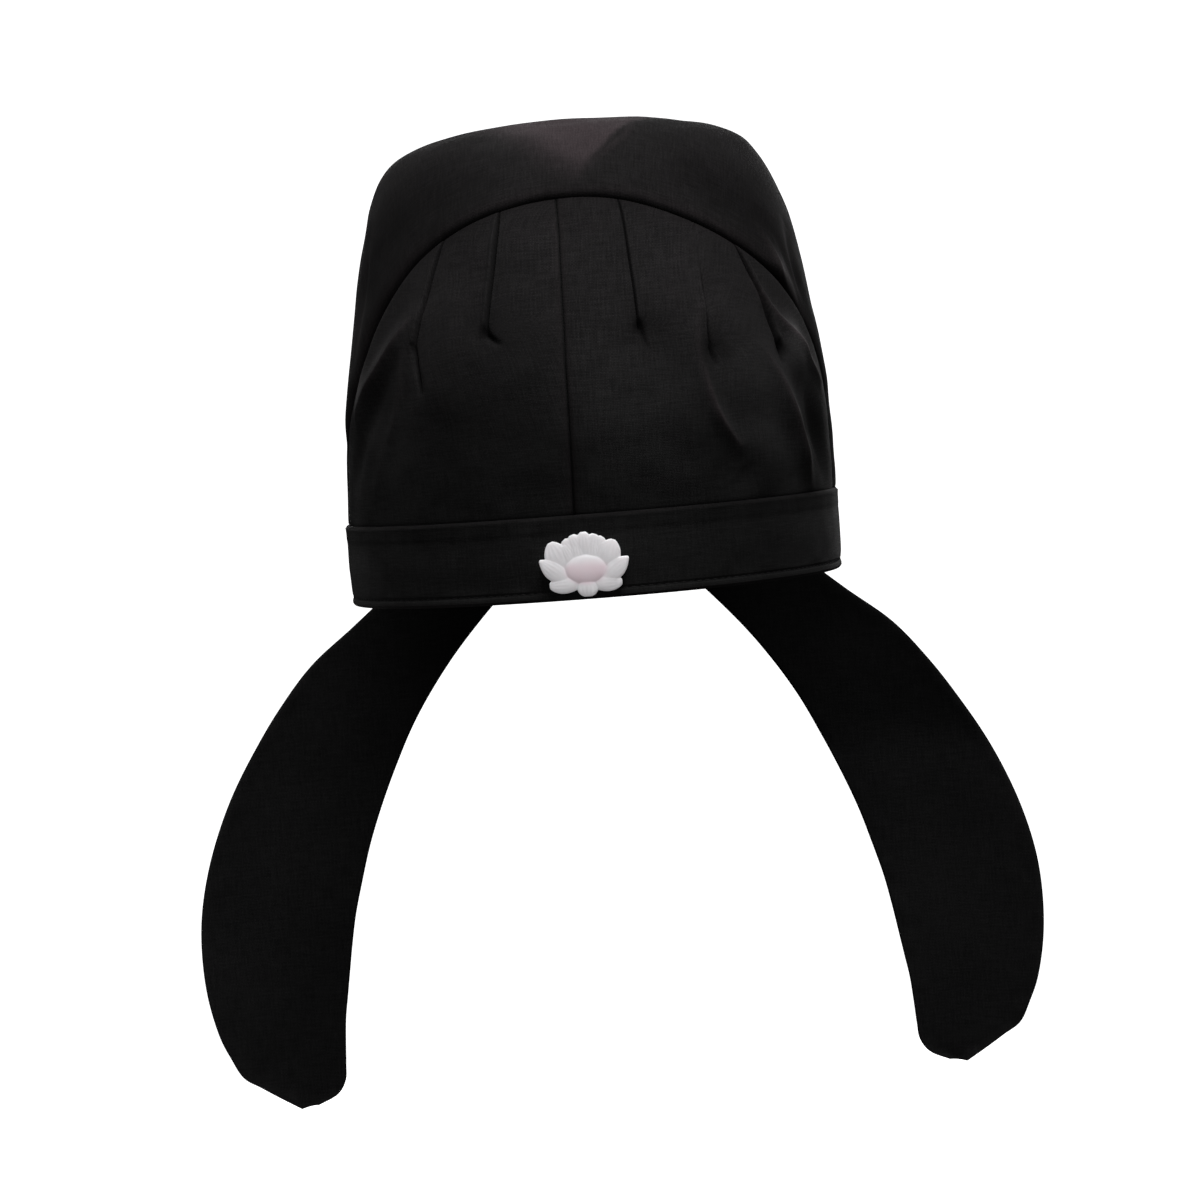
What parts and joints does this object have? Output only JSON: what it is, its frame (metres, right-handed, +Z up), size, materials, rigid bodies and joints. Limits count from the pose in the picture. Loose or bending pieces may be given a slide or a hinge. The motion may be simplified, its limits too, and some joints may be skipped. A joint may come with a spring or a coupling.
{
  "type": "chinese scholar hat",
  "caption": "Soft black cloth scholar cap: headband with a lotus ornament, tucked front panel under an arched seam, taller crown behind, and curved tails hanging from the back.",
  "frame": {"origin": "centre of the oval rim opening, at the bottom edge of the headband, where the head goes in", "axes": "+Z up through the crown, -Y is the way the wearer faces, +X is the wearer's left"},
  "size_m": [0.3104, 0.202, 0.3507],
  "materials": {
    "black_cloth": "matt fine plain weave, black",
    "tail_cloth": "matt stiffened plain weave, deep black",
    "carved_resin": "satin, pale pinkish white, slightly translucent"
  },
  "bodies": {
    "root": {"headband": "black_cloth", "front_panel_left": "black_cloth", "front_panel_right": "black_cloth", "crown": "black_cloth", "tail_left": "tail_cloth", "tail_right": "tail_cloth", "lotus_ornament": "carved_resin"}
  },
  "joints": []
}
